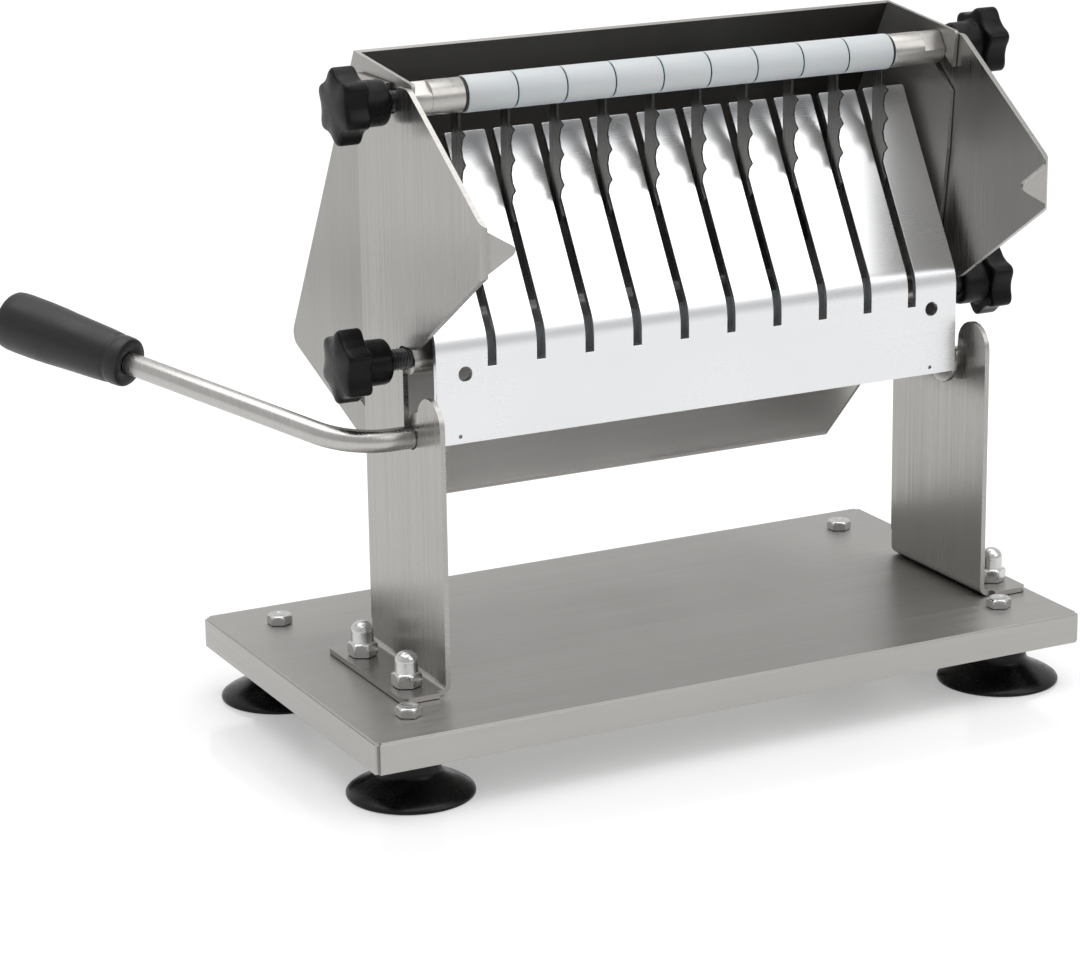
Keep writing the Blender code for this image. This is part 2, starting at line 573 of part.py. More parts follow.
def make_pusher_plate():
    path = rounded([PLATE_TOP, (*PLATE_BEND, 0.0182), PLATE_FOOT], closed=False)
    plate = flat("pusher_plate", offset_band(path, PLATE_SHEET), "YZ", PLATE_LEFT, PLATE_RIGHT, POLISHED)
    half = SLOT_WIDTH / 2
    slots = [[Vector((x - half, SLOT_FLOOR)), Vector((x + half, SLOT_FLOOR)), Vector((x + half, 0.2500)),
              Vector((x - half, 0.2500))] for x in map(blade_x, range(BLADES))]
    cut(plate, flat("slot_cut", slots[0], "XZ", -0.050, 0.020, holes=slots[1:]))

    slope = Vector((0, math.sin(PLATE_LEAN), math.cos(PLATE_LEAN)))
    out = Vector((1, 0, 0)).cross(slope)
    place = Matrix((Vector((1, 0, 0)), slope, out)).transposed().to_4x4()
    place.translation = Vector((0, *PLATE_TOP))
    walls = [(PLATE_LEFT, 1)]
    for x in map(blade_x, range(BLADES)):
        walls += [(x - half, -1), (x + half, 1)]
    walls.append((PLATE_RIGHT, -1))
    tips = []
    for x, inward in walls:
        edge = x - inward * 0.00002
        arc = [Vector((edge + inward * TOOTH_CORNER * (1 - math.sin(math.pi / 2 * k / 4)),
                       -TOOTH_CORNER * (1 - math.cos(math.pi / 2 * k / 4)))) for k in range(5)]
        tips.append([*arc, Vector((x - inward * 0.0008, -TOOTH_CORNER)), Vector((x - inward * 0.0008, 0.002)),
                     Vector((edge + inward * TOOTH_CORNER, 0.002))])
    cut(plate, mesh_object("tooth_corners", extruded_mesh("tooth_corners", tips, 0.012), place))

    holes = [circle(-0.0895, HOLE_Z, HOLE_R, 20), circle(0.1100, HOLE_Z, HOLE_R, 20),
             circle(-0.0920, DIMPLE_Z, DIMPLE_R, 8), circle(0.1097, DIMPLE_Z, DIMPLE_R, 8)]
    cut(plate, flat("plate_holes", holes[0], "XZ", -0.038, -0.028, holes=holes[1:]))
    carry(plate)


def make_bracket(name, x):
    """A small angle behind the plate: its web sits astride the axle."""
    back = PLATE_FOOT[0] + PLATE_SHEET + GAP
    low, high = 0.1185, 0.1390
    saddle_r = AXLE_R + GAP
    droop = math.asin((AXLE_Z - low) / saddle_r)
    angles = [math.pi + droop - (math.pi + 2 * droop) * k / 12 for k in range(13)]
    saddle = [Vector((AXLE_Y + saddle_r * math.cos(a), AXLE_Z + saddle_r * math.sin(a))) for a in angles]
    crest = rounded([saddle[-1], (-0.0150, low), (-0.0140, 0.1280, 0.004), (back + 0.0035, high),
                     (back, high)], closed=False, steps=4)
    web = [Vector((back, low)), *saddle, *crest[1:]]
    bracket = flat(name, web, "YZ", x - 0.001, x + 0.001, BRUSHED)
    join(bracket, box("bracket_foot", (x - 0.0008, back, low + 0.0012), (x + 0.0110, back + 0.0020, high - 0.001)))
    carry(bracket)


def arm_direction():
    return Vector((-math.sin(LEVER_TURN), math.cos(LEVER_TURN) * math.cos(LEVER_RISE),
                   math.cos(LEVER_TURN) * math.sin(LEVER_RISE)))


def round_bar(name, points):
    """A round bar along a path, as one closed body."""
    curve = bpy.data.curves.new(name, "CURVE")
    curve.dimensions = "3D"
    curve.bevel_depth = AXLE_R
    curve.bevel_resolution = 3
    curve.use_fill_caps = True
    spline = curve.splines.new("POLY")
    spline.points.add(len(points) - 1)
    for slot, point in zip(spline.points, points):
        slot.co = (*point, 1.0)
    holder = bpy.data.objects.new(f"{name}_path", curve)
    tools.objects.link(holder)
    bpy.context.view_layer.update()
    depsgraph = bpy.context.evaluated_depsgraph_get()
    mesh = bpy.data.meshes.new_from_object(holder.evaluated_get(depsgraph))
    bpy.data.objects.remove(holder, do_unlink=True)
    bm = bmesh.new()
    bm.from_mesh(mesh)
    bmesh.ops.remove_doubles(bm, verts=bm.verts, dist=0.00001)
    bmesh.ops.recalc_face_normals(bm, faces=bm.faces)
    bm.to_mesh(mesh)
    bm.free()
    return mesh_object(name, mesh, Matrix(), FASTENER)


def make_lever():
    """Axle and bend are one bar with two washers welded on; the straight arm goes on from the bend."""
    corner = Vector((LEVER_BEND_X, AXLE_Y, AXLE_Z))
    arm = arm_direction()
    inward = Vector((1, 0, 0))
    half = inward.angle(arm) / 2
    centre = corner + (inward + arm).normalized() * (LEVER_BEND_R / math.sin(half))
    first = corner + inward * (LEVER_BEND_R / math.tan(half)) - centre
    axis = inward.cross(arm).normalized()
    sweep = math.pi - 2 * half
    points = [Vector((0.1318, AXLE_Y, AXLE_Z))]
    points += [centre + Matrix.Rotation(-sweep * k / 8, 3, axis) @ first for k in range(9)]
    rod = round_bar("lever_rod", points)
    for low, high in ((-0.1037, -0.1019), (0.1222, 0.1242)):
        washer = turned("axle_washer", ((0, high), (0.0090, high), (0.0090, low), (0, low)),
                        along_x(0, AXLE_Y, AXLE_Z), steps=32)
        join(rod, washer)
    carry(rod)
    carry(round_bar("lever_arm", [points[-1] + arm * GAP, corner + arm * (GRIP_START + 0.040)]))


def make_grip():
    """Barrelled handle, pushed over the end of the arm."""
    length = GRIP_LENGTH
    outside = [(0.0100, length), (0.0108, length - 0.0005), (0.0113, length - 0.0018), (0.0115, length - 0.0060),
               (0.0114, length - 0.0150), (0.0108, length * 0.5), (0.0101, length * 0.22), (0.0096, 0.0050),
               (0.0094, 0.0016), (0.0088, 0.0)]
    profile = [(0, length), *outside, (AXLE_R + GAP, 0.0), (AXLE_R + GAP, 0.0420), (0, 0.0420)]
    arm = arm_direction()
    start = Vector((LEVER_BEND_X, AXLE_Y, AXLE_Z)) + arm * GRIP_START
    place = Matrix.Translation(start) @ arm.to_track_quat("Z", "Y").to_matrix().to_4x4()
    carry(turned("lever_grip", profile, place, BLACK_PLASTIC, steps=16))


# ---------------------------------------------------------------- build
make_base()
for side, side_name in ((-1, "left"), (1, "right")):
    for y, end_name in ((-FOOT_Y, "front"), (FOOT_Y, "rear")):
        make_foot(f"suction_foot_{end_name}_{side_name}", side * FOOT_X, y)
        make_foot_bolt(f"foot_bolt_{end_name}_{side_name}", side * FOOT_X, y)
    make_upright(f"{side_name}_upright", side)
    for y, end_name in zip(NUT_YS, ("rear", "front")):
        make_acorn_nut(f"acorn_nut_{end_name}_{side_name}", HEAD_X + side * NUT_X, y)
make_catcher()
make_blades()
make_bar("upper", UPPER_Y, UPPER_Z, CATCHER_HALF - CATCHER_SHEET - GAP, (math.radians(58), math.radians(36)))
make_bar("lower", LOWER_Y, LOWER_Z, SPAN - GAP, (math.radians(40), math.radians(70)))
make_knob("star_knob_upper_left", -1, UPPER_Y, UPPER_Z, 0.0030, math.radians(8))
make_knob("star_knob_lower_left", -1, LOWER_Y, LOWER_Z, 0.0068, math.radians(-6))
make_knob("star_knob_upper_right", 1, UPPER_Y, UPPER_Z, 0.0010, math.radians(14))
make_knob("star_knob_lower_right", 1, LOWER_Y, LOWER_Z, 0.0030, math.radians(4))
make_pusher_plate()
make_bracket("pusher_bracket_left", -0.0920)
make_bracket("pusher_bracket_right", 0.1040)
make_lever()
make_grip()
bpy.context.view_layer.update()
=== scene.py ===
"""Looks of the hand-lever sausage slicer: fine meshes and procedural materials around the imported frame.

Everything is in metres in the frame's own axes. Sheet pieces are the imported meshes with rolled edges;
turned, moulded and threaded pieces are built here at full roundness from the boxes that the frame gives.
"""

import json
import math

import bmesh
import bpy
import numpy as np
from mathutils import Matrix, Vector


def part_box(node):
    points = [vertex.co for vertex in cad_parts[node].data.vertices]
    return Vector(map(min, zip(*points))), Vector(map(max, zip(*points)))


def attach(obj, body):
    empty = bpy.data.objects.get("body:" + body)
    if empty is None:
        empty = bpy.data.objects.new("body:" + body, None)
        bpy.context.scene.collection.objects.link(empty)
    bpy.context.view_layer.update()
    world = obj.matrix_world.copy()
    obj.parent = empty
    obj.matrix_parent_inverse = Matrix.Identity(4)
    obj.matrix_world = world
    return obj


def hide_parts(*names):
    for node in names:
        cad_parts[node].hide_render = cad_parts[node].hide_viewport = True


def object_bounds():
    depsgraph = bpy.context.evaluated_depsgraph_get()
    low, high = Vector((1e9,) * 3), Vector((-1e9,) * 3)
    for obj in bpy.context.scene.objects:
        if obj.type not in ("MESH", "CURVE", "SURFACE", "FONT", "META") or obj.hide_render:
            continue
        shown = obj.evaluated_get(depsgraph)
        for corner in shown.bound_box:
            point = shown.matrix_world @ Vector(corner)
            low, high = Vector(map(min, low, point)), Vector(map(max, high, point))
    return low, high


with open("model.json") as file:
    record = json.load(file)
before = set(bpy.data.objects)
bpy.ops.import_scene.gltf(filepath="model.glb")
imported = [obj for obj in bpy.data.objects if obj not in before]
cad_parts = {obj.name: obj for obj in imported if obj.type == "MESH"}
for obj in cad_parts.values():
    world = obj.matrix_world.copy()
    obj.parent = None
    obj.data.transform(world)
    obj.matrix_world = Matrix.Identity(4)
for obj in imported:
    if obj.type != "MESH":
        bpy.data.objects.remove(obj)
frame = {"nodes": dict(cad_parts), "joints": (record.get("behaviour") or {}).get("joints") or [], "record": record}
CAD_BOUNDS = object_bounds()
RECORD = frame["record"]
JOINTS = {joint["name"]: joint for joint in frame["joints"]}


def centre(node):
    low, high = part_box(node)
    return (low + high) / 2


def body_of(node):
    for body, nodes in RECORD["behaviour"]["bodies"].items():
        if node in nodes:
            return body
    raise KeyError(node)


STAND = centre("base_plate")
STAND.z = 0.0
BASE_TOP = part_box("base_plate")[1].z
HINGE = Vector(JOINTS["pusher_hinge"]["pos_m"])
GAP = 0.0003                      # clearance between pieces that touch
BLADES = sorted(node for node in frame["nodes"] if node.startswith("blade_"))


# ---------------------------------------------------------------- material building blocks
class Shader:
    """A thin helper that adds and links nodes of one material."""

    def __init__(self, name, colour, roughness, metallic=0.0, **sockets):
        self.material = bpy.data.materials.new(name)
        self.material.use_nodes = True
        self.tree = self.material.node_tree
        self.bsdf = self.tree.nodes["Principled BSDF"]
        self.bsdf.inputs["Base Color"].default_value = (*colour, 1.0)
        self.bsdf.inputs["Roughness"].default_value = roughness
        self.bsdf.inputs["Metallic"].default_value = metallic
        for socket, value in sockets.items():
            self.bsdf.inputs[socket.replace("_", " ")].default_value = value
        self.colour = colour

    def node(self, kind, **settings):
        made = self.tree.nodes.new(kind)
        for key, value in settings.items():
            setattr(made, key, value)
        return made

    def link(self, source, target):
        self.tree.links.new(source, target)

    def noise(self, scale, stretch=(1.0, 1.0, 1.0), detail=3.0, offset=(0.0, 0.0, 0.0)):
        """Noise in the object's own metres; stretch is the frequency along X, Y and Z."""
        coords = self.node("ShaderNodeTexCoord")
        mapping = self.node("ShaderNodeMapping")
        mapping.inputs["Scale"].default_value = stretch
        mapping.inputs["Location"].default_value = offset
        texture = self.node("ShaderNodeTexNoise")
        texture.inputs["Scale"].default_value = scale
        texture.inputs["Detail"].default_value = detail
        self.link(coords.outputs["Object"], mapping.inputs["Vector"])
        self.link(mapping.outputs["Vector"], texture.inputs["Vector"])
        return texture.outputs["Fac"]

    def ranged(self, value, low, high, from_low=0.3, from_high=0.7):
        remap = self.node("ShaderNodeMapRange")
        remap.inputs["From Min"].default_value = from_low
        remap.inputs["From Max"].default_value = from_high
        remap.inputs["To Min"].default_value = low
        remap.inputs["To Max"].default_value = high
        self.link(value, remap.inputs["Value"])
        return remap.outputs["Result"]

    def math(self, operation, first, second):
        made = self.node("ShaderNodeMath", operation=operation)
        for socket, value in zip(made.inputs, (first, second)):
            if isinstance(value, (int, float)):
                socket.default_value = value
            else:
                self.link(value, socket)
        return made.outputs["Value"]

    def blend(self, factor, first, second, kind="FLOAT"):
        mix = self.node("ShaderNodeMix", data_type=kind)
        self.link(factor, mix.inputs["Factor"])
        index = {"FLOAT": (2, 3), "VECTOR": (4, 5), "RGBA": (6, 7)}[kind]
        for slot, value in zip(index, (first, second)):
            if isinstance(value, tuple):
                mix.inputs[slot].default_value = value
            else:
                self.link(value, mix.inputs[slot])
        return mix.outputs[{"FLOAT": 0, "VECTOR": 1, "RGBA": 2}[kind]]

    def tinted(self, factor, dark):
        """Base colour between the colour and a darker share of it."""
        low = (*[channel * dark for channel in self.colour], 1.0)
        self.link(self.blend(factor, low, (*self.colour, 1.0), "RGBA"), self.bsdf.inputs["Base Color"])

    def paint_light_and_shade(self, way, low, high):
        """Painted light and shade: scales the base colour on faces that look this way, by (share, height) below
        and above; a share under 1 paints shade, a share over 1 paints light.
        """
        geometry = self.node("ShaderNodeNewGeometry")
        dot = self.node("ShaderNodeVectorMath", operation="DOT_PRODUCT")
        dot.inputs[1].default_value = way
        self.link(geometry.outputs["True Normal"], dot.inputs[0])
        coords = self.node("ShaderNodeTexCoord")
        parts = self.node("ShaderNodeSeparateXYZ")
        self.link(coords.outputs["Object"], parts.inputs["Vector"])
        change = self.ranged(parts.outputs["Z"], low[0] - 1.0, high[0] - 1.0, low[1], high[1])
        facing = self.ranged(dot.outputs["Value"], 0.0, 1.0, 0.90, 0.97)
        self.scaled_colour(self.math("ADD", self.math("MULTIPLY", facing, change), 1.0))

    def scaled_colour(self, share):
        source = self.bsdf.inputs["Base Color"].links[0].from_socket
        scaled = self.node("ShaderNodeVectorMath", operation="SCALE")
        self.link(source, scaled.inputs[0])
        self.link(share, scaled.inputs["Scale"])
        self.link(scaled.outputs["Vector"], self.bsdf.inputs["Base Color"])

    def grained(self, along):
        """Stretches highlights across a grain that runs along this direction of the object."""
        turned = self.node("ShaderNodeVectorTransform", vector_type="VECTOR", convert_from="OBJECT",
                           convert_to="WORLD")
        self.link(along, turned.inputs["Vector"])
        geometry = self.node("ShaderNodeNewGeometry")
        across = self.node("ShaderNodeVectorMath", operation="CROSS_PRODUCT")
        self.link(geometry.outputs["Normal"], across.inputs[0])
        self.link(turned.outputs["Vector"], across.inputs[1])
        self.link(across.outputs["Vector"], self.bsdf.inputs["Tangent"])

    def bumped(self, height, distance):
        bump = self.node("ShaderNodeBump")
        bump.inputs["Strength"].default_value = 1.0
        bump.inputs["Distance"].default_value = distance
        self.link(height, bump.inputs["Height"])
        self.link(bump.outputs["Normal"], self.bsdf.inputs["Normal"])

    def facing_x(self):
        """1 where the surface faces along X, 0 elsewhere."""
        geometry = self.node("ShaderNodeNewGeometry")
        parts = self.node("ShaderNodeSeparateXYZ")
        self.link(geometry.outputs["True Normal"], parts.inputs["Vector"])
        return self.math("GREATER_THAN", self.math("ABSOLUTE", parts.outputs["X"], 0.0), 0.6)


GRAIN_LONG, GRAIN_FINE = 9.0, 1500.0
# painted light and shade on the catcher: darker high on the wall that looks front and down, brighter low on the
# floor
# (direction a face looks in, (share of the colour, height) below, the same above)
CATCHER_PAINTED_LIGHT_AND_SHADE = (((0.0, -0.873, -0.488), (0.90, 0.118), (0.17, 0.150)),
                  ((0.0, -0.354, 0.935), (2.30, 0.105), (0.80, 0.135)))
AXES = {"X": (1.0, 0.0, 0.0), "Y": (0.0, 1.0, 0.0), "Z": (0.0, 0.0, 1.0)}


def grain_stretch(axis):
    return tuple(GRAIN_LONG if letter == axis else GRAIN_FINE for letter in "XYZ")


def brushed_steel(name, colour, roughness, ends="Z", others="X", depth=0.000006, streak=0.10, aniso=0.45,
                  painted_light_and_shade=(), edge_painted_shade=1.0, mottle=0.92):
    """Sheet steel with a ground grain: along one axis on faces that look along X, another elsewhere.

    Each entry of the facing table scales the colour of the faces that look one way: painted shade where its
    share is under 1, painted light where it is over 1. The edge share darkens the cut edges of a sheet that
    stands across X as painted shade, and mottle is the darkest share of the tint. All are looks, not finishes.
    """
    shader = Shader(name, colour, roughness, 1.0, Anisotropic=aniso)
    mask = shader.facing_x()
    on_ends = shader.noise(1.0, grain_stretch(ends), 4.0)
    on_others = shader.noise(1.0, grain_stretch(others), 4.0, (3.1, 1.7, 0.4))
    grain = shader.blend(mask, on_others, on_ends)
    broad_ends = shader.noise(1.0, tuple(5.0 if letter == ends else 130.0 for letter in "XYZ"), 2.0)
    broad_others = shader.noise(1.0, tuple(5.0 if letter == others else 130.0 for letter in "XYZ"), 2.0)
    bands = shader.blend(mask, broad_others, broad_ends)
    clouds = shader.noise(14.0, detail=4.0, offset=(0.7, 0.2, 0.9))
    rough = shader.math("ADD", shader.ranged(grain, roughness - streak, roughness + streak),
                        shader.ranged(clouds, -0.03, 0.04))
    shader.link(rough, shader.bsdf.inputs["Roughness"])
    tint = shader.math("MULTIPLY", shader.ranged(bands, 0.55, 1.0), shader.ranged(clouds, 0.75, 1.0))
    shader.tinted(tint, mottle)
    # painted light and shade: colour scaled by the way a face looks and by its height
    for shade in painted_light_and_shade:
        shader.paint_light_and_shade(*shade)
    shader.bumped(shader.math("ADD", grain, shader.math("MULTIPLY", bands, 0.35)), depth)
    along = shader.blend(mask, AXES[others], AXES[ends], "VECTOR")
    shader.grained(along)
    # painted shade: the cut edges, which do not face along X, are darkened
    if edge_painted_shade < 1.0:
        shader.scaled_colour(shader.ranged(mask, edge_painted_shade, 1.0, 0.0, 1.0))
    return shader.material


def turned_steel(name, colour, roughness, pitch=2600.0):
    """Lathe-turned steel: fine rings across X, worn a little by handling."""
    shader = Shader(name, colour, roughness, 1.0, Anisotropic=0.3)
    rings = shader.noise(1.0, (pitch, 25.0, 25.0), 3.0)
    wear = shader.noise(160.0, detail=4.0)
    shader.link(shader.math("ADD", shader.ranged(rings, roughness - 0.06, roughness + 0.08),
                            shader.ranged(wear, -0.04, 0.05)), shader.bsdf.inputs["Roughness"])
    tint = shader.math("MULTIPLY", shader.ranged(rings, 0.5, 1.0), shader.ranged(wear, 0.6, 1.0))
    shader.tinted(tint, 0.80)
    shader.bumped(rings, 0.000005)
    return shader.material


def moulded(name, colour, roughness, grain=900.0, depth=0.00001, tint=0.7, shine=0.5):
    """Moulded plastic or rubber: a fine spark-eroded skin, with faint handling marks."""
    shader = Shader(name, colour, roughness, Specular_IOR_Level=shine)
    skin = shader.noise(grain, detail=2.0)
    marks = shader.noise(55.0, detail=5.0)
    shader.link(shader.math("ADD", shader.ranged(skin, roughness - 0.04, roughness + 0.06),
                            shader.ranged(marks, -0.05, 0.07)), shader.bsdf.inputs["Roughness"])
    shader.tinted(marks, tint)
    shader.bumped(skin, depth)
    return shader.material


def nylon_material():
    """Natural nylon: milky, lets a little light in, faint turning rings."""
    shader = Shader("white_nylon", (0.51, 0.54, 0.555), 0.38, Subsurface_Weight=0.35, Subsurface_Scale=0.004)
    rings = shader.noise(1.0, (1500.0, 30.0, 30.0), 2.0)
    clouds = shader.noise(90.0, detail=3.0)
    shader.link(shader.ranged(rings, 0.32, 0.46), shader.bsdf.inputs["Roughness"])
    shader.tinted(clouds, 0.93)
    shader.bumped(rings, 0.000006)
    return shader.material


SHEET_STEEL = brushed_steel("sheet_steel", (0.395, 0.385, 0.37), 0.30, depth=0.0000022, streak=0.06,
                            aniso=0.7)
# the catcher's colour carries painted light and painted shade, set by facing and height
CATCHER_STEEL = brushed_steel("catcher_steel_painted_light_and_shade", (0.42, 0.41, 0.395), 0.42, depth=0.0000022, streak=0.06,
                              aniso=0.8, painted_light_and_shade=CATCHER_PAINTED_LIGHT_AND_SHADE)
BASE_STEEL = brushed_steel("base_steel", (0.42, 0.41, 0.395), 0.36, ends="Y", depth=0.000003, streak=0.06,
                           aniso=0.7)
PLATE_STEEL = brushed_steel("plate_steel", (0.75, 0.755, 0.765), 0.28, depth=0.0000001, streak=0.01,
                            aniso=0.0, mottle=0.98)
# the blades' cut edges are darkened to 12 % of the colour: painted shade
BLADE_STEEL = brushed_steel("blade_steel", (0.30, 0.295, 0.285), 0.32, depth=0.000002, edge_painted_shade=0.12)
ROD_STEEL = turned_steel("rod_steel", (0.50, 0.49, 0.475), 0.27)
SLEEVE_STEEL = turned_steel("sleeve_steel", (0.45, 0.437, 0.415), 0.32)
STUD_STEEL = turned_steel("stud_steel", (0.10, 0.10, 0.10), 0.38)
NUT_STEEL = moulded("nut_steel", (0.62, 0.62, 0.61), 0.20, 300.0, 0.000004, 0.85)
NUT_STEEL.node_tree.nodes["Principled BSDF"].inputs["Metallic"].default_value = 1.0
NYLON = nylon_material()
PLASTIC = moulded("black_plastic", (0.004, 0.004, 0.0042), 0.30, shine=0.14)
GRIP_PLASTIC = moulded("grip_plastic", (0.009, 0.009, 0.009), 0.40, shine=0.42)
RUBBER = moulded("black_rubber", (0.003, 0.003, 0.003), 0.28, 500.0, 0.000008, shine=0.22)


# ---------------------------------------------------------------- mesh building blocks
def finished(name, mesh, finish, slot, *replaced):
    """Puts a mesh in the scene: rides its node's body and hides the nodes it stands for; slot is not used."""
    mesh.materials.clear()
    mesh.materials.append(finish)
    piece = bpy.data.objects.new(name, mesh)
    bpy.context.scene.collection.objects.link(piece)
    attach(piece, body_of(replaced[0]))
    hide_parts(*replaced)
    return piece


def rolled_sheet(node, name, finish, slot, width=0.00035, segments=2):
    """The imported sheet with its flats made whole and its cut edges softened."""
    mesh = frame["nodes"][node].data.copy()
    bm = bmesh.new()
    bm.from_mesh(mesh)
    bmesh.ops.remove_doubles(bm, verts=bm.verts, dist=0.000003)
    bmesh.ops.dissolve_limit(bm, angle_limit=math.radians(0.6), verts=bm.verts, edges=bm.edges)
    bm.to_mesh(mesh)
    bm.free()
    piece = finished(name, mesh, finish, slot, node)
    mesh.shade_smooth()
    bevel = piece.modifiers.new("edges", "BEVEL")
    bevel.width = width
    bevel.segments = segments
    bevel.limit_method = "ANGLE"
    bevel.angle_limit = math.radians(40)
    bevel.use_clamp_overlap = True
    bevel.harden_normals = True
    normals = piece.modifiers.new("normals", "WEIGHTED_NORMAL")
    normals.keep_sharp = False
    normals.weight = 80
    return piece


def ring_mesh(name, rings, place, cap_start=True, cap_end=True, sharp=35.0):
    """A closed skin through rings of equal count, given as arrays of points in the piece's own axes."""
    count = len(rings[0])
    points = np.concatenate(rings)
    verts = [place @ Vector(point) for point in points]
    faces = []
    for ring in range(len(rings) - 1):
        first, second = ring * count, (ring + 1) * count
        for k in range(count):
            after = (k + 1) % count
            faces.append((first + k, first + after, second + after, second + k))
    if cap_start:
        faces.append(tuple(range(count))[::-1])
    if cap_end:
        start = (len(rings) - 1) * count
        faces.append(tuple(range(start, start + count)))
    mesh = bpy.data.meshes.new(name)
    mesh.from_pydata(verts, [], faces)
    bm = bmesh.new()
    bm.from_mesh(mesh)
    bmesh.ops.recalc_face_normals(bm, faces=bm.faces)
    bm.to_mesh(mesh)
    bm.free()
    mesh.shade_smooth()
    mesh.set_sharp_from_angle(angle=math.radians(sharp))
    return mesh


def rings_from(stations, count=72):
    """Rings for (radius, height) stations; a radius may be a function of the angle."""
    angles = np.linspace(0.0, math.tau, count, endpoint=False)
    rings = []
    for radius, height in stations:
        reach = np.array([radius(angle) for angle in angles]) if callable(radius) else radius
        rings.append(np.stack([reach * np.cos(angles), reach * np.sin(angles),
                               np.full(count, height)], axis=1))
    return rings


def soft_corner(r_from, z_from, r_to, z_to, corner, radius, steps=5):
    """Stations of a rounded corner between two straight runs of a profile."""
    back = (Vector((r_from, z_from)) - Vector(corner)).normalized()
    ahead = (Vector((r_to, z_to)) - Vector(corner)).normalized()
    half = back.angle(ahead) / 2
    middle = Vector(corner) + (back + ahead).normalized() * (radius / math.sin(half))
    start = Vector(corner) + back * (radius / math.tan(half)) - middle
    end = Vector(corner) + ahead * (radius / math.tan(half)) - middle
    sweep = start.angle_signed(end)
    return [tuple(middle + Matrix.Rotation(-sweep * k / steps, 2) @ start) for k in range(steps + 1)]


def profile(corners, steps=5):
    """A lathe profile from corners (radius, height[, rounding])."""
    stations = []
    for index, corner in enumerate(corners):
        if len(corner) < 3 or index in (0, len(corners) - 1):
            stations.append(tuple(corner[:2]))
            continue
        before, after = corners[index - 1][:2], corners[index + 1][:2]
        stations += soft_corner(*before, *after, corner[:2], corner[2], steps)
    return stations


def merged(name, *meshes):
    bm = bmesh.new()
    for mesh in meshes:
        bm.from_mesh(mesh)
    joined = bpy.data.meshes.new(name)
    bm.to_mesh(joined)
    bm.free()
    return joined


def along_x(x, y, z, side=1):
    """A place whose Z axis points along +X (side 1) or -X (side -1)."""
    return Matrix.Translation((x, y, z)) @ Matrix.Rotation(side * math.pi / 2, 4, "Y")


def thread(name, radius, pitch, length, place, count=36):
    """A helical V thread as one skin, from height 0 to length."""
    per_turn = 8
    rows = int(length / pitch * per_turn)
    angles = np.linspace(0.0, math.tau, count, endpoint=False)
    rings = []
    for row in range(rows + 1):
        height = length * row / rows
        phase = (height / pitch - angles / math.tau) % 1.0
        depth = 0.6 * pitch * (1.0 - np.abs(2.0 * phase - 1.0))
        taper = 0.5 * pitch * max(0.0, 1.0 - (length - height) / pitch)
        reach = radius - np.clip(depth, 0.06 * pitch, 0.6 * pitch) + 0.06 * pitch - taper
        rings.append(np.stack([reach * np.cos(angles), reach * np.sin(angles),
                               np.full(count, height)], axis=1))
    return ring_mesh(name, rings, place, sharp=60.0)


# ---------------------------------------------------------------- sheets and blades
def make_sheets():
    rolled_sheet("base_plate", "base_tray", BASE_STEEL, "brushed_steel", 0.0003)
    for side in ("left", "right"):
        rolled_sheet(f"{side}_upright", f"upright_sheet_{side}", SHEET_STEEL, "brushed_steel")
        rolled_sheet(f"pusher_bracket_{side}", f"bracket_sheet_{side}", PLATE_STEEL, "brushed_steel")
    rolled_sheet("catcher", "catcher_sheet", CATCHER_STEEL, "brushed_steel", 0.00025)
    rolled_sheet("pusher_plate", "slotted_plate", PLATE_STEEL, "polished_steel", 0.0003)
    for node in BLADES:
        rolled_sheet(node, f"{node}_ground", BLADE_STEEL, "blade_steel", 0.00018, 1)


# ---------------------------------------------------------------- clamp bars
LIP_REACH = 0.00044               # how far a spacer's thin rim reaches over the edge of a blade's eye


def make_spacers():
    for label in ("upper", "lower"):
        for index in range(1, len(BLADES)):
            node = f"{label}_spacer_{index}"
            low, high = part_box(node)
            middle = (low + high) / 2
            radius, half = (high.z - low.z) / 2, (high.x - low.x) / 2
            bore, lip, reach = radius * 0.49, radius - 0.0004, half + LIP_REACH
            stations = profile([(bore, half), (lip, half), (lip + 0.00005, reach), (radius, reach, 0.00025),
                                (radius, -reach, 0.00025), (lip + 0.00005, -reach), (lip, -half),
                                (bore, -half)], 4)
            rings = rings_from(stations + stations[:1], 64)
            mesh = ring_mesh(node, rings, along_x(middle.x, middle.y, middle.z), False, False)
            bm = bmesh.new()
            bm.from_mesh(mesh)
            bmesh.ops.remove_doubles(bm, verts=bm.verts, dist=0.0000005)
            bmesh.ops.recalc_face_normals(bm, faces=bm.faces)
            bm.to_mesh(mesh)
            bm.free()
            finished(f"{node}_turned", mesh, NYLON, "white_nylon", node)


SLEEVE_FLATS = {"upper": {-1: math.radians(58), 1: math.radians(36)},
                "lower": {-1: math.radians(40), 1: math.radians(70)}}
FLAT_DEPTH = 0.0050               # bar axis to a spanner flat
FLAT_LENGTH = 0.0095
STUD_R, STUD_PITCH = 0.0040, 0.00125
UPRIGHT_INSET = 0.0204            # an upright's outermost face to the end of the lower bar's sleeve
END_WALL = 0.0016                 # the catcher's outside to 0.1 mm inside its end wall


def flatted(radius, facing):
    """Radius of a round bar with two parallel flats, around its own axis."""
    def reach(angle):
        slant = abs(math.cos(angle - facing))
        return min(radius, FLAT_DEPTH / slant) if slant > 0.01 else radius
    return reach


